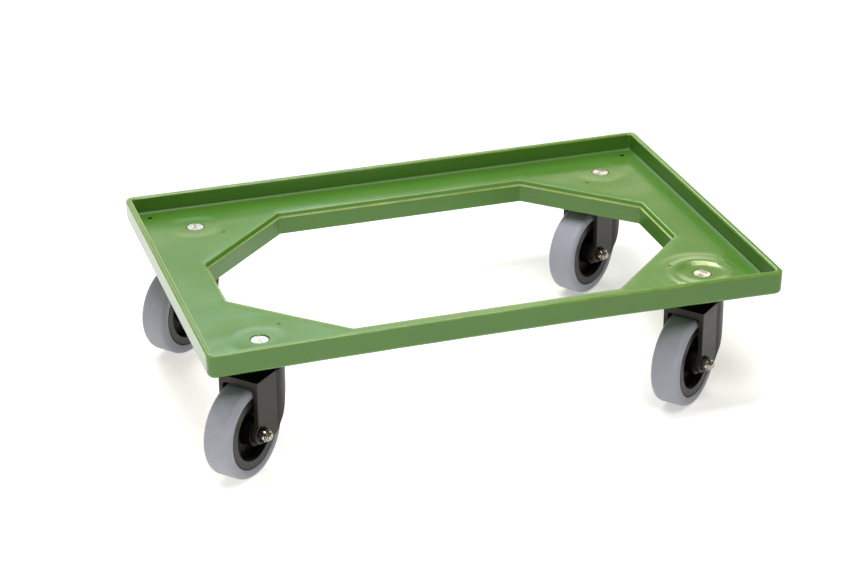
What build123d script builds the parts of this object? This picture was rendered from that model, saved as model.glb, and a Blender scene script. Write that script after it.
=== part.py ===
"""Crate dolly: a moulded tray frame on four swivel casters.

Frame: origin on the floor under the middle of the tray, +X along the long side,
+Y towards the rear long side, +Z up.  Millimetres.
"""
import os
from math import asin, atan2, cos, hypot, radians, sin

from build123d import *

os.makedirs("parts", exist_ok=True)

# ---------------------------------------------------------------- tray frame
LENGTH = 619.0            # outside, at the rim
WIDTH = 417.0
RIM_Z = 154.7             # top of the rim above the floor
DECK_Z = 135.0            # top of the deck, where the crate stands
DECK_T = 4.0
WALL_BOTTOM_Z = 128.5     # lower edge of the outer wall
WALL_T = 7.0              # at the rim
WALL_LOW_T = 4.6          # below the deck
CORNER_R = 8.5            # outer corners in plan
WALL_DRAFT = 1.2          # degrees
TRAY_DRAFT = 0.6
RIM_ROUND = 2.5
WALL_ROUND = 5.2          # lower outer edge
TRAY_ROUND = 2.4          # where wall and deck meet

# eight-sided opening, at deck level
OPEN_X = 252.3            # half length
OPEN_Y = 152.5            # half width
OPEN_CX = 145.0           # where the long edges end
OPEN_CY = 47.0            # where the short edges end
OPEN_CORNER_R = 3.0
LIP_ROUND = 2.0           # rounded deck edge round the opening
LIP_FOOT = -0.3           # the lip starts this far outside the opening
LIP_LEAN = 28.0           # degrees, the lip leans back
LEDGE_Z = 130.5           # small ledge under the lip
LEDGE = 1.3               # the skirt stands this far inside the opening
LEDGE_ROUND = 0.9
SKIRT_Z = 110.4           # lower edge of the skirt round the opening
SKIRT_T = 4.0

# stem sockets and ribs under the deck
PIN_X = 242.5
PIN_Y = 147.0
SOCKET_R = 17.0
SOCKET_Z = 113.0
RIB_T = 2.6
RIB_LOW_Z = 116.0
DRAIN_X = 285.8
DRAIN_Y = 186.0
DRAIN_R = 3.0
MARK_X = 216.0            # small round moulding marks beside the stems
MARK_Y = 121.0
MARK_R = 2.3
MARK_DEPTH = 0.6

# ---------------------------------------------------------------- casters
TRAIL = 37.0              # axle behind the swivel axis
WHEEL_R = 50.0
TYRE_W = 32.0
TYRE_SHOULDER = 5.6
RIM_R = 40.0              # core, where the tyre sits
RING_IN_R = 30.5          # inside of the core's outer ring
RING_U = 14.8             # half width of the core's outer ring
WEB_U = 3.8               # half thickness of the web
GROOVE_W = 1.2            # open groove between the core's ring and the tyre
GROOVE_D = 2.2
HUB_R = 13.8
HUB_U = 18.0              # half length of the hub
BUSH_R = 8.5
SLEEVE_R = 6.0
SLEEVE_BORE_R = 4.15
BUSH_GAP = 0.05           # running clearance of the bush on the sleeve

STEM_R = 10.0
STEM_TOP_Z = 134.6
FLANGE_R = 14.5
FLANGE_Z = 110.3
KINGPIN_R = 6.0
KINGPIN_END_Z = 92.2
CLIP_Z0 = 93.8
CLIP_Z1 = 95.2
RACE_Z0 = 95.4
RACE_Z1 = 98.4
RACE_R = 12.2
BALL_R = 2.5
BALL_PITCH_R = 9.4
BALLS = 10
UPPER_BALL_Z = 108.1
LOWER_BALL_Z = 100.2
GROOVE_R = 2.7

CROWN_Z = 109.5           # top of the fork
HEAD_R = 24.5             # round back of the fork
FORK_U = 23.3             # half width over the legs
SLOT_U = 18.4             # half width of the wheel slot
FORK_FRONT = 42.3         # front face of the fork, from the swivel axis
ARCH_R = 52.5             # wheel slot, about the axle
ARCH_ROUND = 3.0
EYE_R = 10.8              # rounded lower end of the legs
FOOT_S = 13.2             # where the foot of the leg turns up into its back edge
FOOT_Z = 38.0
SPOT_R = 8.6              # recess for the nut and the bolt head
SPOT_U = 22.3
BOLT_R = 3.95
BOLT_HOLE_R = 4.1
HEX_AF = 13.0
BOLT_END_U = 34.8

# where the casters stand in the rest pose: side, side, axle heading in degrees
CORNERS = {
    "front_left": (-1, -1, 47.5),
    "front_right": (1, -1, 49.4),
    "rear_left": (-1, 1, 49.5),
    "rear_right": (1, 1, 53.4),
}


def octagon(grow):
    """Corner points of the opening, moved outwards by grow."""
    dx, dy = OPEN_X - OPEN_CX, OPEN_Y - OPEN_CY
    slant = (dx * dx + dy * dy) ** 0.5
    # the slanted edge has the outward normal (dy, dx) / slant
    x, y = OPEN_X + grow, OPEN_Y + grow
    c = (dy * OPEN_X + dx * OPEN_CY) / slant + grow
    cy = (c * slant - dy * x) / dx
    cx = (c * slant - dx * y) / dy
    return [(cx, y), (x, cy), (x, -cy), (cx, -y), (-cx, -y), (-x, -cy), (-x, cy), (-cx, y)]


# ================================================================ deck
# the hollow of the tray, with a rounded foot all round
with BuildPart() as tray_hollow:
    with BuildSketch(Plane.XY.offset(DECK_Z)):
        RectangleRounded(LENGTH - 2 * WALL_T - 0.4, WIDTH - 2 * WALL_T - 0.4, 4.0)
    extrude(amount=RIM_Z - DECK_Z + 2.0, taper=-TRAY_DRAFT)
    fillet(tray_hollow.faces().sort_by(Axis.Z)[0].edges(), TRAY_ROUND)

# the opening: wider above the ledge than below it
with BuildPart() as opening:
    with BuildSketch(Plane.XY.offset(SKIRT_Z - 5)) as lower_edge:
        with BuildLine():
            Polyline(*octagon(-LEDGE), close=True)
        make_face()
        fillet(lower_edge.vertices(), OPEN_CORNER_R)
    extrude(amount=LEDGE_Z - SKIRT_Z + 5)
    with BuildSketch(Plane.XY.offset(LEDGE_Z)) as upper_edge:
        with BuildLine():
            Polyline(*octagon(LIP_FOOT), close=True)
        make_face()
        fillet(upper_edge.vertices(), OPEN_CORNER_R)
    extrude(amount=DECK_Z + 3 - LEDGE_Z, taper=-LIP_LEAN)
    step = opening.faces().filter_by(Axis.Z).filter_by_position(Axis.Z, LEDGE_Z - 0.01, LEDGE_Z + 0.01)[0]
    fillet(step.inner_wires()[0].edges(), LEDGE_ROUND)

with BuildPart() as deck:
    # outer wall and deck as one block
    with BuildSketch(Plane.XY.offset(WALL_BOTTOM_Z)):
        RectangleRounded(LENGTH - 1.0, WIDTH - 1.0, CORNER_R)
    extrude(amount=RIM_Z - WALL_BOTTOM_Z, taper=-WALL_DRAFT)
    fillet(deck.faces().sort_by(Axis.Z)[0].edges(), WALL_ROUND)
    add(tray_hollow.part, mode=Mode.SUBTRACT)
    fillet(deck.faces().sort_by(Axis.Z)[-1].edges(), RIM_ROUND)
    # hollow under the deck
    with BuildSketch(Plane.XY.offset(WALL_BOTTOM_Z - 1)):
        RectangleRounded(LENGTH - 2 * WALL_LOW_T, WIDTH - 2 * WALL_LOW_T, CORNER_R - 4.0)
    extrude(amount=DECK_Z - DECK_T - WALL_BOTTOM_Z + 1, mode=Mode.SUBTRACT)
    # skirt round the opening
    with BuildSketch(Plane.XY.offset(SKIRT_Z)):
        with BuildLine():
            Polyline(*octagon(SKIRT_T - LEDGE), close=True)
        make_face()
    extrude(amount=DECK_Z - DECK_T - SKIRT_Z + 1)
    # sockets for the stems
    with BuildSketch(Plane.XY.offset(SOCKET_Z)):
        with GridLocations(2 * PIN_X, 2 * PIN_Y, 2, 2):
            Circle(SOCKET_R)
    extrude(amount=DECK_Z - DECK_T - SOCKET_Z + 1)
    # ribs from each socket to the walls and to the slanted skirt
    for side_x in (-1, 1):
        for side_y in (-1, 1):
            for angle, reach, low in ((0, 62.8, 124.0), (90, 57.0, 124.0), (207, 68.0, RIB_LOW_Z), (243, 68.0, RIB_LOW_Z)):
                along = (side_x * cos(radians(angle)), side_y * sin(radians(angle)), 0)
                with BuildSketch(Plane(origin=(side_x * PIN_X, side_y * PIN_Y, 0), x_dir=along, z_dir=(along[1], -along[0], 0))):
                    with BuildLine():
                        Polyline((SOCKET_R - 2, RIB_LOW_Z), (SOCKET_R + 6, RIB_LOW_Z), (reach, max(low, RIB_LOW_Z) + 4.8),
                                 (reach, DECK_Z - DECK_T + 1), (SOCKET_R - 2, DECK_Z - DECK_T + 1), close=True)
                    make_face()
                extrude(amount=RIB_T / 2, both=True)
    # ribs across the channels, from the skirt to the outer wall
    for x in (-120.0, -40.0, 40.0, 120.0):
        for side in (-1, 1):
            with BuildSketch(Plane(origin=(x, 0, 0), x_dir=(0, side, 0), z_dir=(side, 0, 0))):
                with BuildLine():
                    Polyline((OPEN_Y + 1, RIB_LOW_Z), (OPEN_Y + 9, RIB_LOW_Z), (WIDTH / 2 - WALL_LOW_T + 0.4, WALL_BOTTOM_Z + 0.6),
                             (WIDTH / 2 - WALL_LOW_T + 0.4, DECK_Z - DECK_T + 1), (OPEN_Y + 1, DECK_Z - DECK_T + 1), close=True)
                make_face()
            extrude(amount=RIB_T / 2, both=True)
    for y in (-34.0, 34.0):
        for side in (-1, 1):
            with BuildSketch(Plane(origin=(0, y, 0), x_dir=(side, 0, 0), z_dir=(0, -side, 0))):
                with BuildLine():
                    Polyline((OPEN_X + 1, RIB_LOW_Z), (OPEN_X + 9, RIB_LOW_Z), (LENGTH / 2 - WALL_LOW_T + 0.4, WALL_BOTTOM_Z + 0.6),
                             (LENGTH / 2 - WALL_LOW_T + 0.4, DECK_Z - DECK_T + 1), (OPEN_X + 1, DECK_Z - DECK_T + 1), close=True)
                make_face()
            extrude(amount=RIB_T / 2, both=True)
    # the opening, with a rounded edge where it meets the deck
    add(opening.part, mode=Mode.SUBTRACT)
    lip = (
        deck.edges()
        .filter_by_position(Axis.Z, DECK_Z - 0.01, DECK_Z + 0.01)
        .filter_by_position(Axis.X, -OPEN_X - 6, OPEN_X + 6)
        .filter_by_position(Axis.Y, -OPEN_Y - 6, OPEN_Y + 6)
    )
    fillet(lip, LIP_ROUND)
    # stem holes, drain holes and moulding marks
    with BuildSketch(Plane.XY.offset(SOCKET_Z - 1)):
        with GridLocations(2 * PIN_X, 2 * PIN_Y, 2, 2):
            Circle(STEM_R + 0.03)
        with GridLocations(2 * DRAIN_X, 2 * DRAIN_Y, 2, 2):
            Circle(DRAIN_R)
    extrude(amount=DECK_Z - SOCKET_Z + 3, mode=Mode.SUBTRACT)
    with BuildSketch(Plane.XY.offset(DECK_Z - MARK_DEPTH)):
        with GridLocations(2 * MARK_X, 2 * MARK_Y, 2, 2):
            Circle(MARK_R)
    extrude(amount=1.0, mode=Mode.SUBTRACT)
    mouths = deck.edges().filter_by(GeomType.CIRCLE).filter_by_position(Axis.Z, DECK_Z - 0.01, DECK_Z + 0.01)
    chamfer(mouths.filter_by(lambda e: abs(e.radius - STEM_R - 0.03) < 0.01), 0.45)
deck.part.label = "deck"
export_step(deck.part, "parts/deck.step")


# ================================================================ casters
def caster(name, side_x, side_y, heading):
    """All the pieces of one caster, written under the corner's name."""
    a = radians(heading)
    pin = Vector(side_x * PIN_X, side_y * PIN_Y, 0)
    trail = Vector(-sin(a), -cos(a), 0)          # from the swivel axis towards the axle
    across = Vector(cos(a), -sin(a), 0)          # along the axle
    hub = pin + trail * TRAIL + Vector(0, 0, WHEEL_R)
    swivel_axis = Axis(pin, (0, 0, 1))
    axle_axis = Axis(hub, across)
    side = Plane(origin=pin, x_dir=trail, z_dir=-across)      # x backwards, y up
    section = Plane(origin=hub, x_dir=across, z_dir=trail)    # x along the axle, y up

    def plan(z):
        return Plane(origin=pin + Vector(0, 0, z), x_dir=trail, z_dir=(0, 0, 1))

    def across_at(u, outward):
        """Plane square to the axle at distance u, facing outwards or inwards."""
        return Plane(origin=hub + across * u, x_dir=trail, z_dir=across * outward)

    def keep(piece, label):
        piece.label = f"{label}_{name}"
        export_step(piece, f"parts/{label}_{name}.step")

    # ---- stem: pressed into the deck, with a flange over the upper balls
    with BuildPart() as stem:
        with BuildSketch(side):
            with BuildLine():
                Polyline((0, KINGPIN_END_Z), (KINGPIN_R - 0.8, KINGPIN_END_Z), (KINGPIN_R, KINGPIN_END_Z + 0.8),
                         (KINGPIN_R, CLIP_Z0 - 0.1), (KINGPIN_R - 0.8, CLIP_Z0 - 0.1), (KINGPIN_R - 0.8, CLIP_Z1 + 0.1),
                         (KINGPIN_R, CLIP_Z1 + 0.1), (KINGPIN_R, FLANGE_Z), (FLANGE_R - 0.6, FLANGE_Z), (FLANGE_R, FLANGE_Z + 0.6),
                         (FLANGE_R, SOCKET_Z), (STEM_R, SOCKET_Z), (STEM_R, STEM_TOP_Z - 0.7), (STEM_R - 0.8, STEM_TOP_Z),
                         (1.7, STEM_TOP_Z), (0, STEM_TOP_Z - 1.0), close=True)
            make_face()
        revolve(axis=swivel_axis)
        with BuildSketch(side):
            with Locations((BALL_PITCH_R, UPPER_BALL_Z)):
                Circle(GROOVE_R)
        revolve(axis=swivel_axis, mode=Mode.SUBTRACT)
    keep(stem.part, "stem")

    # ---- bearing balls
    for label, z in (("upper_balls", UPPER_BALL_Z), ("lower_balls", LOWER_BALL_Z)):
        with BuildPart(plan(z)) as balls:
            with PolarLocations(BALL_PITCH_R, BALLS):
                Sphere(BALL_R)
        keep(balls.part, label)

    # ---- lower race under the lower balls
    with BuildPart() as race:
        with BuildSketch(side):
            with BuildLine():
                Polyline((KINGPIN_R + 0.05, RACE_Z0), (RACE_R - 0.6, RACE_Z0), (RACE_R, RACE_Z0 + 0.6),
                         (RACE_R, RACE_Z1), (KINGPIN_R + 0.05, RACE_Z1), close=True)
            make_face()
        revolve(axis=swivel_axis)
        with BuildSketch(side):
            with Locations((BALL_PITCH_R, LOWER_BALL_Z)):
                Circle(GROOVE_R)
        revolve(axis=swivel_axis, mode=Mode.SUBTRACT)
    keep(race.part, "lower_race")

    # ---- open retaining ring in the kingpin's groove
    with BuildPart() as clip:
        with BuildSketch(plan(CLIP_Z0)):
            Circle(KINGPIN_R + 2.6)
            Circle(KINGPIN_R - 0.75, mode=Mode.SUBTRACT)
            with Locations((-KINGPIN_R - 1, 0)):
                Rectangle(6, 3.0, mode=Mode.SUBTRACT)
        extrude(amount=CLIP_Z1 - CLIP_Z0)
    keep(clip.part, "retaining_ring")

    # ---- fork
    with BuildPart() as wheel_slot:
        with BuildSketch(section) as slot_half:
            with BuildLine():
                Polyline((-SLOT_U, 0), (SLOT_U, 0), (SLOT_U, ARCH_R), (-SLOT_U, ARCH_R), close=True)
            make_face()
            fillet(slot_half.vertices().group_by(Axis.Y)[-1], ARCH_ROUND)
        revolve(axis=axle_axis)

    # side view of the fork, from the crown to the rounded ends of the legs
    eye_top = WHEEL_R + (EYE_R ** 2 - (FORK_FRONT - TRAIL) ** 2) ** 0.5
    foot_slope = atan2(WHEEL_R - FOOT_Z, TRAIL - FOOT_S) - asin(EYE_R / hypot(TRAIL - FOOT_S, WHEEL_R - FOOT_Z))
    with BuildSketch(side) as outline:
        with BuildLine():
            Polyline((-HEAD_R - 1, 105.5), (-HEAD_R - 1, CROWN_Z), (FORK_FRONT, CROWN_Z), (FORK_FRONT, eye_top))
            eye = ThreePointArc((FORK_FRONT, eye_top), (TRAIL + EYE_R * cos(radians(-20)), WHEEL_R + EYE_R * sin(radians(-20))),
                                (TRAIL + EYE_R * sin(foot_slope), WHEEL_R - EYE_R * cos(foot_slope)))
            foot = Line(eye @ 1, (FOOT_S, FOOT_Z))
            heel = TangentArc(foot @ 1, (6.6, 42.6), tangent=foot % 1)
            Spline(heel @ 1, (-1.4, 55.0), (-9.0, 75.0), (-HEAD_R - 1, 105.5), tangents=(heel % 1, (-0.55, 0.84)))
        make_face()
        fillet(outline.vertices().sort_by_distance((FORK_FRONT, eye_top, 0))[0], 3.0)

    # round back, under the stem
    with BuildPart() as head:
        with BuildSketch(plan(FOOT_Z - 3)):
            Circle(HEAD_R)
        extrude(amount=CROWN_Z - FOOT_Z + 3)
        extrude(outline.sketch, amount=HEAD_R + 5, both=True, mode=Mode.INTERSECT)
        fillet(head.faces().sort_by(Axis.Z)[-1].edges(), 0.8)

    with BuildPart() as fork:
        # flat sides with softened edges, running into the round back
        with BuildSketch(side):
            add(outline.sketch_local)
            with Locations((FORK_FRONT / 2 + 12, 75)):
                Rectangle(FORK_FRONT + 20, 90, mode=Mode.INTERSECT)
        extrude(amount=FORK_U, both=True)
        flats = fork.faces().filter_by(lambda f: f.geom_type == GeomType.PLANE and abs(f.normal_at().dot(across)) > 0.99)
        fillet(flats.edges(), 0.8)
        add(head.part)
        add(wheel_slot.part, mode=Mode.SUBTRACT)
        # bearing pockets above and below the crown's web, and the kingpin's bore
        with BuildSketch(plan(106.5)):
            Circle(FLANGE_R - 0.9)
        extrude(amount=6, mode=Mode.SUBTRACT)
        with BuildSketch(plan(80)):
            Circle(RACE_R + 0.5)
        extrude(amount=101.8 - 80, mode=Mode.SUBTRACT)
        with BuildSketch(plan(80)):
            Circle(KINGPIN_R + 0.5)
        extrude(amount=40, mode=Mode.SUBTRACT)
        with BuildSketch(side):
            with Locations((BALL_PITCH_R, UPPER_BALL_Z), (BALL_PITCH_R, LOWER_BALL_Z)):
                Circle(GROOVE_R)
        revolve(axis=swivel_axis, mode=Mode.SUBTRACT)
        # recesses for the bolt head and the nut, and the axle hole
        for outward in (-1, 1):
            with BuildSketch(across_at(outward * SPOT_U, outward)):
                Circle(SPOT_R)
            extrude(amount=6, mode=Mode.SUBTRACT)
        with BuildSketch(across_at(-FORK_U - 5, 1)):
            Circle(BOLT_HOLE_R)
        extrude(amount=2 * FORK_U + 10, mode=Mode.SUBTRACT)
    keep(fork.part, "fork")

    # ---- axle bolt, nut and sleeve
    with BuildPart() as bolt:
        with BuildSketch(across_at(-SPOT_U, -1)):
            RegularPolygon(HEX_AF / 2, 6, major_radius=False)
        extrude(amount=5.3)
        with BuildSketch(section):
            with BuildLine():
                Polyline((-SPOT_U - 5.4, 5.9), (-SPOT_U - 5.4, 12), (-SPOT_U - 3.3, 12), (-SPOT_U - 3.3, HEX_AF / 2 + 1.1),
                         close=True)
            make_face()
        revolve(axis=axle_axis, mode=Mode.SUBTRACT)
        with BuildSketch(section):
            with BuildLine():
                tip = [(-SPOT_U - 1, 0), (-SPOT_U - 1, BOLT_R), (21.0, BOLT_R)]
                # thread: a row of fine grooves to the end
                u = 21.0
                while u < BOLT_END_U - 1.9:
                    tip += [(u, BOLT_R), (u + 0.62, BOLT_R - 0.55), (u + 0.74, BOLT_R - 0.55)]
                    u += 1.36
                tip += [(u, BOLT_R), (BOLT_END_U - 0.8, BOLT_R), (BOLT_END_U, BOLT_R - 0.9), (BOLT_END_U, 0)]
                points = [p for i, p in enumerate(tip) if i == 0 or p != tip[i - 1]]
                Polyline(*points, close=True)
            make_face()
        revolve(axis=axle_axis)
    keep(bolt.part, "axle_bolt")

    with BuildPart() as nut:
        with BuildSketch(across_at(SPOT_U, 1)):
            RegularPolygon(HEX_AF / 2, 6, major_radius=False)
        extrude(amount=7.4)
        with BuildSketch(section):
            with BuildLine():
                Polyline((SPOT_U + 7.5, 6.2), (SPOT_U + 7.5, 12), (SPOT_U + 5.3, 12), (SPOT_U + 5.3, HEX_AF / 2 + 1.1), close=True)
            make_face()
        revolve(axis=axle_axis, mode=Mode.SUBTRACT)
        # collar that holds the locking insert
        with BuildSketch(section):
            with BuildLine():
                Polyline((SPOT_U + 7.0, 0), (SPOT_U + 7.0, 5.9), (SPOT_U + 9.0, 5.9), (SPOT_U + 9.7, 5.2), (SPOT_U + 9.7, 0), close=True)
            make_face()
        revolve(axis=axle_axis)
        with BuildSketch(across_at(SPOT_U - 1, 1)):
            Circle(BOLT_R + 0.05)
        extrude(amount=12, mode=Mode.SUBTRACT)
    keep(nut.part, "axle_nut")

    with BuildPart() as sleeve:
        with BuildSketch(across_at(-SLOT_U, 1)):
            Circle(SLEEVE_R)
            Circle(SLEEVE_BORE_R, mode=Mode.SUBTRACT)
        extrude(amount=2 * SLOT_U)
    keep(sleeve.part, "axle_sleeve")

    # ---- wheel: bush, core and tyre
    with BuildPart() as bush:
        with BuildSketch(across_at(-HUB_U, 1)):
            Circle(BUSH_R)
            Circle(SLEEVE_R + BUSH_GAP, mode=Mode.SUBTRACT)
        extrude(amount=2 * HUB_U)
    keep(bush.part, "hub_bush")

    with BuildPart() as core:
        with BuildSketch(section) as core_half:
            with BuildLine():
                right = [(HUB_U, BUSH_R), (HUB_U, HUB_R), (WEB_U + 0.8, HUB_R + 0.6), (WEB_U, RING_IN_R - 1.6),
                         (RING_U, RING_IN_R), (RING_U, RIM_R - GROOVE_W), (RING_U - GROOVE_D, RIM_R - GROOVE_W * 0.8),
                         (RING_U - GROOVE_D, RIM_R), (5.5, RIM_R), (4.9, RIM_R + 2.2)]
                left = [(-u, r) for u, r in reversed(right)]
                Polyline(*right, *left, close=True)
            make_face()
            for u in (-1, 1):
                fillet(core_half.vertices().sort_by_distance((u * HUB_U, HUB_R, 0))[0], 1.2)
                fillet(core_half.vertices().sort_by_distance((u * (WEB_U + 0.8), HUB_R + 0.6, 0))[0], 1.6)
                fillet(core_half.vertices().sort_by_distance((u * WEB_U, RING_IN_R - 1.6, 0))[0], 1.6)
                fillet(core_half.vertices().sort_by_distance((u * RING_U, RING_IN_R, 0))[0], 0.7)
                fillet(core_half.vertices().sort_by_distance((u * RING_U, RIM_R - GROOVE_W, 0))[0], 0.4)
        revolve(axis=axle_axis)
    keep(core.part, "wheel_core")

    with BuildPart() as tyre:
        with BuildSketch(section) as tyre_half:
            with BuildLine():
                right = [(4.9, RIM_R + 2.2), (5.5, RIM_R), (RING_U + 0.3, RIM_R), (TYRE_W / 2, RIM_R + 2.4), (TYRE_W / 2, WHEEL_R)]
                left = [(-u, r) for u, r in reversed(right)]
                Polyline(*right, *left, close=True)
            make_face()
            for u in (-1, 1):
                fillet(tyre_half.vertices().sort_by_distance((u * TYRE_W / 2, WHEEL_R, 0))[0], TYRE_SHOULDER)
                fillet(tyre_half.vertices().sort_by_distance((u * TYRE_W / 2, RIM_R + 2.4, 0))[0], 1.0)
        revolve(axis=axle_axis)
    keep(tyre.part, "tyre")


for corner_name, (corner_x, corner_y, corner_heading) in CORNERS.items():
    caster(corner_name, corner_x, corner_y, corner_heading)
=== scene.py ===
"""Looks of the crate dolly: moulded green tray frame on four swivel casters."""
import math

import bmesh
import bpy
import numpy as np
from mathutils import Matrix, Vector, noise


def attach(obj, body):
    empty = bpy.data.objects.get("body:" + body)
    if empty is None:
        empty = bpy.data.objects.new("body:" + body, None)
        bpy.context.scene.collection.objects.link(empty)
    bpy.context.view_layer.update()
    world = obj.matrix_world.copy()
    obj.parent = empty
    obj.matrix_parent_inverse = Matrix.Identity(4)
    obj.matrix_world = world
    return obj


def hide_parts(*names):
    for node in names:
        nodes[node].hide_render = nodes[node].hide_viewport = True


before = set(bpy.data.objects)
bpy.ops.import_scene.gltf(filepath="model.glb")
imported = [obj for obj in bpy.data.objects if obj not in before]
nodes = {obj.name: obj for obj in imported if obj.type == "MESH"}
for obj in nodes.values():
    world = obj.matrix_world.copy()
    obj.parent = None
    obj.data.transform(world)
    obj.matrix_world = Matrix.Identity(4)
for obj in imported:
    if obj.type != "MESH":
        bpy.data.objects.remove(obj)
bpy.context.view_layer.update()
scene = bpy.context.scene
MM = 0.001

# where the casters stand: pin of the swivel and heading of the axle
CORNERS = {
    "front_left": (-242.5, -147.0, 47.5),
    "front_right": (242.5, -147.0, 49.4),
    "rear_left": (-242.5, 147.0, 49.5),
    "rear_right": (242.5, 147.0, 53.4),
}
TRAIL, AXLE_Z = 37.0, 50.0
RING_IN = 0.0305          # m, inside of the ring of a wheel core


def axle_frame(corner):
    """Middle of the wheel and direction of the axle, in metres."""
    x, y, heading = CORNERS[corner]
    a = math.radians(heading)
    hub = Vector((x - math.sin(a) * TRAIL, y - math.cos(a) * TRAIL, AXLE_Z)) * MM
    return hub, Vector((math.cos(a), -math.sin(a), 0.0))


# ---------------------------------------------------------------- camera
cam_data = bpy.data.cameras.new("camera")
cam_data.sensor_fit = "HORIZONTAL"
cam_data.sensor_width = 36.0
cam_data.lens = 2344.5 / 850.0 * 36.0
cam_data.clip_start, cam_data.clip_end = 0.05, 60.0
camera = bpy.data.objects.new("camera", cam_data)
scene.collection.objects.link(camera)
right = Vector((0.95234, -0.30490, -0.00877))
up = Vector((0.13885, 0.40774, 0.90248))
back = right.cross(up)
turn = Matrix((right, up, back)).transposed().to_quaternion().to_matrix().to_4x4()
camera.matrix_world = Matrix.Translation((-0.71811, -2.21043, 1.20285)) @ turn
scene.camera = camera

# ---------------------------------------------------------------- light and floor
scene.view_settings.view_transform = "Standard"
scene.view_settings.look = "None"
scene.view_settings.exposure = 0.0
scene.view_settings.gamma = 1.0

world = bpy.data.worlds.new("studio")
scene.world = world
world.use_nodes = True
world.node_tree.nodes["Background"].inputs["Color"].default_value = (0.95, 0.97, 1.0, 1.0)
world.node_tree.nodes["Background"].inputs["Strength"].default_value = 0.10


def softbox(name, azimuth, elevation, distance, width, height, radiance, colour=(1, 1, 1)):
    """Soft light seen from the object at that azimuth (from +X, towards +Y) and elevation."""
    a, e = math.radians(azimuth), math.radians(elevation)
    target = Vector((0, 0, 0.12))
    out = Vector((math.cos(a) * math.cos(e), math.sin(a) * math.cos(e), math.sin(e)))
    data = bpy.data.lights.new(name, "AREA")
    data.shape = "RECTANGLE"
    data.size, data.size_y = width, height
    data.energy = radiance * math.pi * width * height
    data.color = colour
    lamp = bpy.data.objects.new(name, data)
    scene.collection.objects.link(lamp)
    lamp.location = target + out * distance
    lamp.rotation_mode = "QUATERNION"
    lamp.rotation_quaternion = (-out).to_track_quat("-Z", "Y")
    lamp.visible_camera = False
    return lamp


# name: azimuth, elevation, distance, width, height, radiance, colour
LIGHTS = {
    "back_high": (95, 47, 3.0, 2.6, 1.5, 4.6, (0.95, 1.0, 1.06)),
    "back_left": (88, 32.2, 3.2, 1.30, 0.40, 2.8, (0.82, 1.0, 1.06)),
    "back_left_low": (93.5, 26.0, 3.2, 0.56, 0.40, 3.0, (1.06, 1.0, 0.86)),
    "back_right": (62, 38.5, 3.0, 0.56, 0.26, 17.0, (1.10, 1.0, 0.70)),
    "back_mid_right": (62, 26.0, 3.2, 1.3, 0.44, 0.44, (1.12, 1.0, 0.74)),
    "backdrop": (84, 12.0, 3.2, 3.9, 1.16, 2.05, (1.10, 1.0, 0.76)),
    "left_high": (180, 57, 2.4, 0.5, 0.5, 6.8, (1.06, 1.0, 0.84)),
    "right": (2, 34, 2.6, 1.8, 1.2, 0.5, (1.06, 1.0, 0.95)),
    "front_high": (270, 60, 2.4, 0.9, 0.8, 12.2, (1.0, 1.0, 1.0)),
    "left_mid": (198, 26, 2.4, 0.9, 0.5, 1.0, (1.0, 1.0, 1.0)),
    "front_low": (288, 28, 2.4, 0.9, 0.45, 1.2, (1.0, 1.0, 1.0)),
    "left_floor": (192, 3, 2.6, 1.6, 0.24, 3.0, (1.0, 1.0, 1.0)),
    "left_low": (218, 9, 2.8, 0.5, 0.34, 7.0, (1.04, 1.0, 0.96)),
    "top": (268, 87, 2.4, 1.6, 0.45, 18.5, (1.0, 1.0, 1.0)),
}
for lamp_name, how in LIGHTS.items():
    softbox(lamp_name, *how)

floor_mesh = bpy.data.meshes.new("floor")
fb = bmesh.new()
bmesh.ops.create_circle(fb, cap_ends=True, cap_tris=False, segments=96, radius=25.0)
fb.to_mesh(floor_mesh)
fb.free()
floor = bpy.data.objects.new("floor", floor_mesh)
scene.collection.objects.link(floor)


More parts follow.
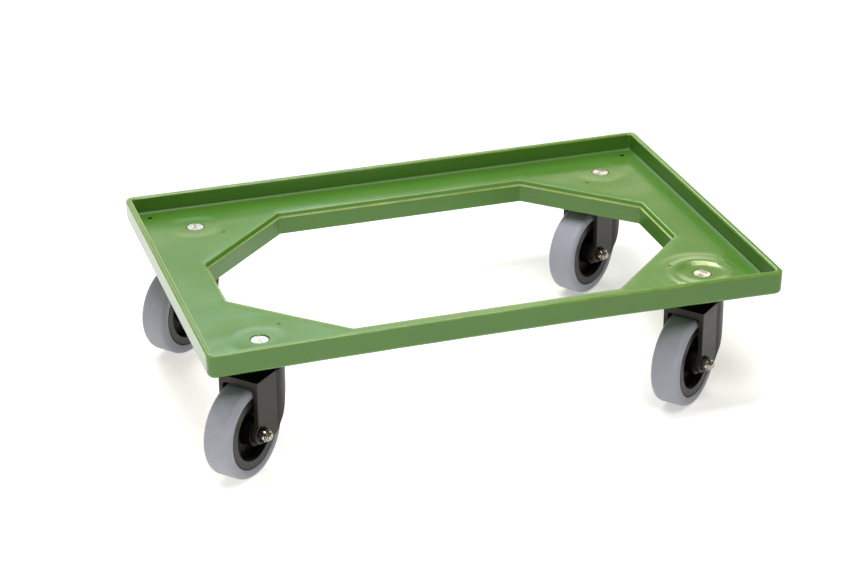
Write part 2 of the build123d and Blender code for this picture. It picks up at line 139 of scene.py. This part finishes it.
# ---------------------------------------------------------------- node helpers
class Nodes:
    """Short names for building a node tree."""

    def __init__(self, name):
        self.material = bpy.data.materials.new(name)
        self.material.use_nodes = True
        self.tree = self.material.node_tree
        self.shader = self.tree.nodes["Principled BSDF"]
        self.output = self.tree.nodes["Material Output"]

    def add(self, kind, **values):
        node = self.tree.nodes.new(kind)
        for key, value in values.items():
            setattr(node, key, value)
        return node

    def put(self, socket, value):
        if isinstance(value, bpy.types.NodeSocket):
            self.tree.links.new(value, socket)
        else:
            socket.default_value = value

    def set(self, **values):
        """Shader sockets by name, with spaces written as underscores."""
        for key, value in values.items():
            self.put(self.shader.inputs[key.replace("_", " ")], value)

    def place(self, origin=(0, 0, 0), stretch=(1, 1, 1), turn=(0, 0, 0)):
        """Object coordinates from an origin, turned and stretched."""
        coords = self.add("ShaderNodeTexCoord").outputs["Object"]
        moved = self.math3("SUBTRACT", coords, tuple(origin))
        mapping = self.add("ShaderNodeMapping", vector_type="POINT")
        self.put(mapping.inputs["Vector"], moved)
        mapping.inputs["Rotation"].default_value = turn
        mapping.inputs["Scale"].default_value = stretch
        return mapping.outputs["Vector"]

    def math(self, operation, a, b=0.0, c=0.0, clamp=False):
        node = self.add("ShaderNodeMath", operation=operation, use_clamp=clamp)
        for socket, value in zip(node.inputs, (a, b, c)):
            self.put(socket, value)
        return node.outputs[0]

    def math3(self, operation, a, b=(0, 0, 0)):
        node = self.add("ShaderNodeVectorMath", operation=operation)
        self.put(node.inputs[0], a)
        self.put(node.inputs[1], b)
        return node.outputs["Value"] if operation in ("DOT_PRODUCT", "LENGTH", "DISTANCE") else node.outputs["Vector"]

    def split(self, vector):
        node = self.add("ShaderNodeSeparateXYZ")
        self.put(node.inputs[0], vector)
        return node.outputs

    def noise(self, vector, scale, detail=2.0, rough=0.5, distort=0.0):
        node = self.add("ShaderNodeTexNoise")
        self.put(node.inputs["Vector"], vector)
        node.inputs["Scale"].default_value = scale
        node.inputs["Detail"].default_value = detail
        node.inputs["Roughness"].default_value = rough
        node.inputs["Distortion"].default_value = distort
        return node.outputs[0]

    def cells(self, vector, scale):
        node = self.add("ShaderNodeTexVoronoi", feature="F1")
        self.put(node.inputs["Vector"], vector)
        node.inputs["Scale"].default_value = scale
        return node.outputs["Distance"]

    def remap(self, value, a, b, c=0.0, d=1.0, smooth=False):
        node = self.add("ShaderNodeMapRange", interpolation_type="SMOOTHSTEP" if smooth else "LINEAR")
        self.put(node.inputs["Value"], value)
        for key, limit in zip(("From Min", "From Max", "To Min", "To Max"), (a, b, c, d)):
            node.inputs[key].default_value = limit
        return node.outputs["Result"]

    def mix(self, share, a, b):
        node = self.add("ShaderNodeMix", data_type="RGBA")
        self.put(node.inputs["Factor"], share)
        for socket, value in zip([s for s in node.inputs if s.type == "RGBA"], (a, b)):
            self.put(socket, value)
        return [s for s in node.outputs if s.type == "RGBA"][0]

    def bump(self, height, strength, distance, normal=None):
        node = self.add("ShaderNodeBump")
        node.inputs["Strength"].default_value = strength
        node.inputs["Distance"].default_value = distance
        self.put(node.inputs["Height"], height)
        if normal is not None:
            self.put(node.inputs["Normal"], normal)
        return node.outputs["Normal"]

    def sharp_edge_mask(self, radius):
        """1 on sharp outer edges, 0 on flats."""
        bevel = self.add("ShaderNodeBevel", samples=6)
        bevel.inputs["Radius"].default_value = radius
        plain = self.add("ShaderNodeNewGeometry").outputs["Normal"]
        same = self.math3("DOT_PRODUCT", bevel.outputs["Normal"], plain)
        return self.remap(same, 0.995, 0.9, 0.0, 1.0)


def colour(r, g, b):
    return (r, g, b, 1.0)


# floor: pale, lit from below, brighter towards the back left
fm = Nodes("floor")
x, y, z = fm.split(fm.add("ShaderNodeTexCoord").outputs["Object"])
glow = fm.math("MULTIPLY_ADD", x, -0.34, 0.46)
glow = fm.math("MULTIPLY_ADD", y, -0.30, glow)
glow = fm.math("MINIMUM", fm.math("MAXIMUM", glow, 0.28), 0.90)
fm.set(Base_Color=colour(0.66, 0.656, 0.645), Roughness=0.9, Specular_IOR_Level=0.1,
       Emission_Color=colour(1.03, 1.0, 0.95), Emission_Strength=glow)
fm.material.cycles.emission_sampling = "NONE"
floor_mesh.materials.append(fm.material)


# ---------------------------------------------------------------- materials
def green_plastic():
    m = Nodes("green_plastic")
    p = m.place()
    broad = m.noise(p, 9.0, 3.0, 0.55)
    fine = m.noise(p, 260.0, 3.0, 0.6)
    grain = m.noise(p, 1500.0, 2.0, 0.6)
    base = m.mix(m.remap(broad, 0.3, 0.7), colour(0.0545, 0.150, 0.0150), colour(0.061, 0.1625, 0.0180))
    # light scuffs, where crates slide on the deck and the rim
    along = m.noise(m.place(stretch=(6.0, 220.0, 60.0), turn=(0, 0, 0.35)), 1.0, 4.0, 0.6, 0.3)
    cross = m.noise(m.place(stretch=(190.0, 7.0, 60.0), turn=(0, 0, 0.2)), 1.0, 4.0, 0.6, 0.3)
    scuff = m.math("MAXIMUM", m.remap(along, 0.66, 0.82), m.remap(cross, 0.68, 0.84))
    scuff = m.math("MULTIPLY", scuff, m.remap(m.noise(p, 22.0, 2.0), 0.45, 0.7))
    base = m.mix(m.math("MULTIPLY", scuff, 0.10), base, colour(0.26, 0.38, 0.18))
    # thin sharp edges are made paler: partly rubbed wear, partly a painted highlight standing in for the bright lines
    # light makes along them
    edge = m.math("MULTIPLY", m.sharp_edge_mask(0.0011), m.remap(m.noise(p, 60.0, 4.0, 0.7), 0.30, 0.70, 0.12, 0.42))
    base = m.mix(edge, base, colour(0.36, 0.44, 0.09))
    # painted shade: the inside of the drain holes is darkened as if in shadow
    x, y, z = m.split(p)
    across = m.math("SUBTRACT", m.math("ABSOLUTE", x), 0.2858)
    along_y = m.math("SUBTRACT", m.math("ABSOLUTE", y), 0.186)
    r = m.math("SQRT", m.math("ADD", m.math("MULTIPLY", across, across), m.math("MULTIPLY", along_y, along_y)))
    darkening_mask = m.math("MULTIPLY", m.remap(r, 0.0034, 0.0031), m.remap(z, 0.1349, 0.1344))
    base = m.mix(darkening_mask, base, colour(0.006, 0.010, 0.003))
    # dust dulls the corner where the walls meet the deck; the colour there is also darkened, which is painted shade
    near = m.math("MINIMUM", m.math("SUBTRACT", 0.3025, m.math("ABSOLUTE", x)),
                  m.math("SUBTRACT", 0.2015, m.math("ABSOLUTE", y)))
    dust_and_corner_shade = m.math("MULTIPLY", m.remap(near, 0.0065, 0.0030), m.remap(near, -0.0030, -0.0015))
    dust_and_corner_shade = m.math("MULTIPLY", dust_and_corner_shade, m.math("MULTIPLY", m.remap(z, 0.1400, 0.1370), m.remap(z, 0.1330, 0.1340)))
    base = m.mix(m.math("MULTIPLY", dust_and_corner_shade, 0.35), base, colour(0.030, 0.085, 0.010))
    # the edge of the ledge round the opening is made pale: partly rubbed wear, partly a painted highlight, fading out
    # towards the left
    ledge_wear_and_highlight = m.remap(m.math("ABSOLUTE", m.math("SUBTRACT", z, 0.1299)), 0.0013, 0.0007)
    ledge_wear_and_highlight = m.math("MULTIPLY", ledge_wear_and_highlight, m.remap(near, 0.030, 0.031))
    ledge_wear_and_highlight = m.math("MULTIPLY", ledge_wear_and_highlight, m.remap(m.noise(p, 24.0, 3.0, 0.7), 0.30, 0.70, 0.20, 0.60))
    ledge_wear_and_highlight = m.math("MULTIPLY", ledge_wear_and_highlight, m.remap(x, -0.23, -0.05, 0.25, 1.0))
    base = m.mix(ledge_wear_and_highlight, base, colour(0.46, 0.50, 0.14))
    # the rounded edges of the rim and of the lip are made pale too: partly rubbed wear, partly painted highlight lines
    nz = m.split(m.add("ShaderNodeNewGeometry").outputs["Normal"])[2]
    rim = m.math("MULTIPLY", m.remap(z, 0.1508, 0.1518), m.math("MULTIPLY", m.remap(nz, 0.985, 0.93), m.remap(nz, 0.10, 0.30)))
    lip = m.math("MULTIPLY", m.remap(z, 0.1318, 0.1326), m.math("MULTIPLY", m.remap(nz, 0.980, 0.95), m.remap(nz, 0.62, 0.80)))
    lip = m.math("MULTIPLY", lip, m.remap(near, 0.030, 0.031))
    edge_wear_and_highlight = m.math("ADD", m.math("MULTIPLY", rim, 0.65), m.math("MULTIPLY", lip, 0.7))
    edge_wear_and_highlight = m.math("MULTIPLY", edge_wear_and_highlight, m.remap(m.noise(p, 34.0, 4.0, 0.7), 0.32, 0.68, 0.16, 0.46))
    base = m.mix(edge_wear_and_highlight, base, colour(0.38, 0.46, 0.10))
    rough = m.remap(broad, 0.25, 0.75, 0.13, 0.18)
    rough = m.math("MULTIPLY_ADD", fine, 0.05, rough)
    rough = m.math("MULTIPLY_ADD", scuff, 0.16, rough)
    rough = m.math("MULTIPLY_ADD", dust_and_corner_shade, 0.32, rough)
    bumped = m.bump(grain, 0.06, 0.00008)
    bumped = m.bump(fine, 0.05, 0.0002, bumped)
    m.set(Base_Color=base, Roughness=rough, Normal=bumped, IOR=1.5)
    return m.material


def black_nylon(corner):
    m = Nodes("black_nylon_" + corner)
    hub, axle = axle_frame(corner)
    p = m.place(origin=hub)
    grain = m.noise(p, 900.0, 3.0, 0.65)
    cloud = m.noise(p, 38.0, 3.0, 0.6)
    base = m.mix(m.remap(cloud, 0.35, 0.7), colour(0.0120, 0.0092, 0.0064), colour(0.0180, 0.0145, 0.0106))
    edge = m.math("MULTIPLY", m.sharp_edge_mask(0.0009), m.remap(m.noise(p, 160.0, 3.0, 0.7), 0.42, 0.7))
    base = m.mix(m.math("MULTIPLY", edge, 0.35), base, colour(0.075, 0.072, 0.068))
    rough = m.math("MULTIPLY_ADD", grain, 0.12, m.remap(cloud, 0.3, 0.7, 0.30, 0.40))
    # painted shade: the upward top of the crown is darkened and loses most of its reflection, as if in the deck's
    # shadow
    nz = m.split(m.add("ShaderNodeNewGeometry").outputs["Normal"])[2]
    pz = m.split(p)[2]
    crown_top_shade = m.math("MULTIPLY", m.remap(nz, 0.80, 0.97), m.remap(pz, 0.050, 0.053))
    base = m.mix(crown_top_shade, base, colour(0.0045, 0.0034, 0.0024))
    m.set(Base_Color=base, Roughness=rough, Normal=m.bump(grain, 0.12, 0.0002), IOR=1.37,
          Specular_Tint=colour(1.0, 0.94, 0.89),
          Specular_IOR_Level=m.remap(crown_top_shade, 0.0, 1.0, 0.5, 0.03))
    return m.material


def black_core(corner):
    m = Nodes("black_core_" + corner)
    hub, axle = axle_frame(corner)
    p = m.place(origin=hub)
    grain = m.noise(p, 700.0, 3.0, 0.6)
    cloud = m.noise(p, 45.0, 3.0, 0.6)
    base = m.mix(m.remap(cloud, 0.35, 0.7), colour(0.0165, 0.0130, 0.0102), colour(0.0240, 0.0192, 0.0152))
    # painted shade: the hollow between ring and hub is darkened and its reflection turned down, blacker and duller
    # than the rubbed ring
    u = m.math3("DOT_PRODUCT", p, tuple(axle))
    far = m.math3("DOT_PRODUCT", p, p)
    r = m.math("SQRT", m.math("MAXIMUM", m.math("SUBTRACT", far, m.math("MULTIPLY", u, u)), 0.0))
    hollow_shade = m.remap(r, RING_IN - 0.0003, RING_IN - 0.0018, 0.0, 1.0, smooth=True)
    base = m.mix(hollow_shade, base, colour(0.0028, 0.0023, 0.0020))
    # sharp edges made paler: partly wear, partly a painted highlight on the rim of the hub boss
    edge = m.math("MULTIPLY", m.sharp_edge_mask(0.0008), m.remap(m.noise(p, 160.0, 3.0, 0.7), 0.35, 0.65))
    base = m.mix(m.math("MULTIPLY", edge, 0.5), base, colour(0.060, 0.056, 0.052))
    rough = m.math("MULTIPLY_ADD", grain, 0.10, m.remap(cloud, 0.3, 0.7, 0.30, 0.40))
    m.set(Base_Color=base, Roughness=rough, Normal=m.bump(grain, 0.10, 0.0002), IOR=1.42,
          Specular_IOR_Level=m.remap(hollow_shade, 0.0, 1.0, 0.5, 0.12))
    return m.material


def grey_rubber(corner):
    m = Nodes("grey_rubber_" + corner)
    hub, axle = axle_frame(corner)
    p = m.place(origin=hub)
    u = m.math3("DOT_PRODUCT", p, tuple(axle))
    cloud = m.noise(p, 30.0, 4.0, 0.6)
    fine = m.noise(p, 420.0, 4.0, 0.65)
    base = m.mix(m.remap(cloud, 0.3, 0.7), colour(0.262, 0.273, 0.313), colour(0.294, 0.304, 0.343))
    # a little floor dirt on the running face
    running = m.remap(m.math("ABSOLUTE", u), 0.014, 0.008, 0.0, 1.0, smooth=True)
    darkening_mask = m.math("MULTIPLY", running, m.remap(m.noise(p, 95.0, 5.0, 0.7), 0.50, 0.78))
    base = m.mix(m.math("MULTIPLY", darkening_mask, 0.30), base, colour(0.21, 0.208, 0.205))
    rough = m.math("MULTIPLY_ADD", fine, 0.16, 0.46)
    m.set(Base_Color=base, Roughness=rough, Normal=m.bump(fine, 0.10, 0.0003), IOR=1.45)
    return m.material


# painted light: each turned end's colour is scaled brighter or darker for the light that falls on it at its corner
STEEL_LIGHT_SCALE = {"front_left": 0.80, "front_right": 1.10, "rear_left": 1.00, "rear_right": 1.20}


def turned_steel(corner):
    m = Nodes("turned_steel_" + corner)

    # steel colour scaled by the painted light of this corner
    def steel(r, g, b):
        return colour(*(min(0.85, STEEL_LIGHT_SCALE[corner] * c) for c in (r, g, b)))

    px, py, _ = CORNERS[corner]
    p = m.place(origin=(px * MM, py * MM, 0))
    x, y, z = m.split(p)
    r = m.math("SQRT", m.math("ADD", m.math("MULTIPLY", x, x), m.math("MULTIPLY", y, y)))
    cut = m.math("SINE", m.math("MULTIPLY", r, 2 * math.pi / 0.00035))
    streak = m.noise(p, 420.0, 4.0, 0.65)
    base = m.mix(m.remap(streak, 0.35, 0.7), steel(0.37, 0.36, 0.335), steel(0.50, 0.49, 0.46))
    # painted reflection: darker sectors round the turned face stand in for the dark fans of its reflection
    turn_vector = m.math3("NORMALIZE", m.math3("MULTIPLY", p, (1, 1, 0)))
    reflection_fan = m.noise(turn_vector, 1.9, 2.0, 0.5)
    base = m.mix(m.remap(reflection_fan, 0.42, 0.58, 0.0, 0.6, smooth=True), base, steel(0.32, 0.307, 0.282))
    # painted shade: the gap round the end is darkened to near black
    gap_shade = m.remap(r, 0.00885, 0.0092, 0.0, 1.0, smooth=True)
    base = m.mix(gap_shade, base, colour(0.022, 0.020, 0.016))
    rough = m.math("MULTIPLY_ADD", streak, 0.14, 0.20)
    rough = m.math("MULTIPLY_ADD", gap_shade, 0.3, rough)
    tangent = m.add("ShaderNodeTangent", direction_type="RADIAL", axis="Z").outputs[0]
    m.set(Base_Color=base, Metallic=1.0, Roughness=rough, Anisotropic=0.75, Tangent=tangent,
          Normal=m.bump(cut, 0.10, 0.00003))
    return m.material


def plated_steel(name, light, dark, rough_low, grain_scale=500.0):
    m = Nodes(name)
    p = m.place()
    stain = m.noise(p, 260.0, 4.0, 0.65)
    grain = m.noise(p, grain_scale * 4, 2.0, 0.6)
    base = m.mix(m.remap(stain, 0.35, 0.68), colour(*light), colour(*dark))
    rough = m.math("MULTIPLY_ADD", stain, 0.16, rough_low)
    m.set(Base_Color=base, Metallic=1.0, Roughness=rough, Normal=m.bump(grain, 0.08, 0.00005))
    return m.material


def white_acetal():
    m = Nodes("white_acetal")
    p = m.place()
    cloud = m.noise(p, 120.0, 3.0, 0.6)
    base = m.mix(m.remap(cloud, 0.3, 0.7), colour(0.70, 0.69, 0.65), colour(0.78, 0.77, 0.74))
    m.set(Base_Color=base, Roughness=m.remap(cloud, 0.2, 0.8, 0.30, 0.44), IOR=1.48,
          Normal=m.bump(m.noise(p, 1200.0, 2.0), 0.05, 0.0001))
    return m.material


green = green_plastic()
zinc = plated_steel("zinc_steel", (0.52, 0.47, 0.40), (0.24, 0.205, 0.155), 0.15)
bearing = plated_steel("bearing_steel", (0.58, 0.58, 0.59), (0.50, 0.50, 0.51), 0.10)
spring = plated_steel("spring_steel", (0.16, 0.155, 0.15), (0.10, 0.098, 0.095), 0.30)
acetal = white_acetal()

for corner in CORNERS:
    by_kind = {
        "fork": black_nylon(corner),
        "wheel_core": black_core(corner),
        "tyre": grey_rubber(corner),
        "stem": turned_steel(corner),
        "axle_bolt": zinc, "axle_nut": zinc, "axle_sleeve": zinc,
        "upper_balls": bearing, "lower_balls": bearing, "lower_race": bearing,
        "retaining_ring": spring,
        "hub_bush": acetal,
    }
    for kind, material in by_kind.items():
        nodes[kind + "_" + corner].material_slots[0].material = material
nodes["deck"].material_slots[0].material = green


# ---------------------------------------------------------------- deck as it came out of the mould
# rings round the stem sockets: crest height in mm at each corner
RINGS = {"front_left": 0.28, "front_right": 1.5, "rear_left": 0.30, "rear_right": 0.24}
NEAR_BOW = 2.7            # mm, the near wall rises this much in the middle
EDGE_DROOP = 0.5          # mm, the deck sinks this much at the edge of the opening
DROOP_WIDTH = 14.0

# the eight sides of the opening: outward normal and distance from the middle
SLANT = math.hypot(107.3, 105.5)
SIDES = [((sx, 0.0), 252.3) for sx in (-1, 1)] + [((0.0, sy), 152.5) for sy in (-1, 1)]
SIDES += [((sx * 105.5 / SLANT, sy * 107.3 / SLANT), (105.5 * 252.3 + 107.3 * 47.0) / SLANT)
          for sx in (-1, 1) for sy in (-1, 1)]


def beyond_side(x, y):
    """How far a point lies outside the opening, in mm."""
    return max(nx * x + ny * y - c for (nx, ny), c in SIDES)


def moulded_deck():
    bm = bmesh.new()
    bm.from_mesh(nodes["deck"].data)
    bmesh.ops.remove_doubles(bm, verts=bm.verts, dist=2e-6)

    def cut(along, places, wanted):
        """Cuts the wanted faces at each place along a direction, from low to high."""
        normal = Vector(along)
        waiting = [f for f in bm.faces if wanted(f)]
        for place in sorted(places):
            at = place * MM
            crossing, later = [], []
            for f in waiting:
                side = [v.co.dot(normal) for v in f.verts]
                if max(side) > at + 1e-6:
                    (crossing if min(side) < at - 1e-6 else later).append(f)
            if crossing:
                geom = set(crossing)
                for f in crossing:
                    geom.update(f.edges)
                    geom.update(f.verts)
                made = bmesh.ops.bisect_plane(bm, geom=list(geom), dist=1e-7, plane_co=normal * at, plane_no=normal)
                later += [g for g in made["geom"] if isinstance(g, bmesh.types.BMFace)]
            waiting = later

    def near(f):
        return min(v.co.y for v in f.verts) < 0.0

    def top(f):
        return f.normal.z > 0.99 and f.calc_center_median().z > 134.4 * MM and f.calc_center_median().z < 136 * MM

    bm.normal_update()
    ALONG, ACROSS = (1, 0, 0), (0, 1, 0)
    cut(ALONG, np.arange(-300, 301, 20.0), near)
    cut(ACROSS, np.arange(-200, 1, 20.0), near)
    cut(ALONG, np.arange(-304, 305, 8.0), top)
    cut(ACROSS, np.arange(-200, 201, 8.0), top)
    for i, ((nx, ny), c) in enumerate(SIDES):
        def beside(f):
            m = f.calc_center_median() / MM
            return top(f) and nx * m.x + ny * m.y - c < 26.0 and beyond_side(m.x, m.y) > nx * m.x + ny * m.y - c - 14.0
        cut((nx, ny, 0), [c + k for k in (4.6, 6.0, 7.8, 9.8, 12.0, 14.0)], beside)
    for px, py, _ in CORNERS.values():
        def close(f):
            c = f.calc_center_median()
            return top(f) and abs(c.x - px * MM) < 0.056 and abs(c.y - py * MM) < 0.056
        cut(ALONG, np.arange(px - 54, px + 55, 3.0), close)
        cut(ACROSS, np.arange(py - 54, py + 55, 3.0), close)

    for v in bm.verts:
        xm, ym, zm = (c / MM for c in v.co)
        lift = 0.0
        if zm > 126:
            lift += 0.28 * noise.noise(Vector((xm / 62.0, ym / 62.0, 3.1)))
            lift += 0.10 * noise.noise(Vector((xm / 24.0, ym / 24.0, 7.7)))
        if zm > 133.5:
            for corner, crest in RINGS.items():
                r = math.hypot(xm - CORNERS[corner][0], ym - CORNERS[corner][1])
                if r < 62:
                    lift += crest * math.exp(-0.5 * ((r - 31.0) / 6.0) ** 2)
                    lift += 0.25 * crest * math.exp(-0.5 * ((r - 45.0) / 4.0) ** 2)
        off = beyond_side(xm, ym)
        if off < DROOP_WIDTH:
            lift -= EDGE_DROOP * ((DROOP_WIDTH - max(0.0, off)) / DROOP_WIDTH) ** 2
        across = min(1.0, max(0.0, -ym / 208.0))
        along = max(0.0, 1.0 - (xm / 300.0) ** 2)
        lift += (NEAR_BOW * along - 0.9 * xm / 300.0) * across ** 3
        v.co.z += lift * MM

    mesh = bpy.data.meshes.new("deck_moulding")
    bm.normal_update()
    for e in bm.edges:
        e.smooth = len(e.link_faces) == 2 and e.calc_face_angle(0.0) < math.radians(28)
    for f in bm.faces:
        f.smooth = True
    bm.to_mesh(mesh)
    bm.free()
    piece = bpy.data.objects.new("deck_moulding", mesh)
    scene.collection.objects.link(piece)
    weighted = piece.modifiers.new("weighted", "WEIGHTED_NORMAL")
    weighted.keep_sharp = True
    weighted.weight = 60
    mesh.materials.append(green)
    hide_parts("deck")
    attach(piece, "frame")
    return piece


deck_piece = moulded_deck()
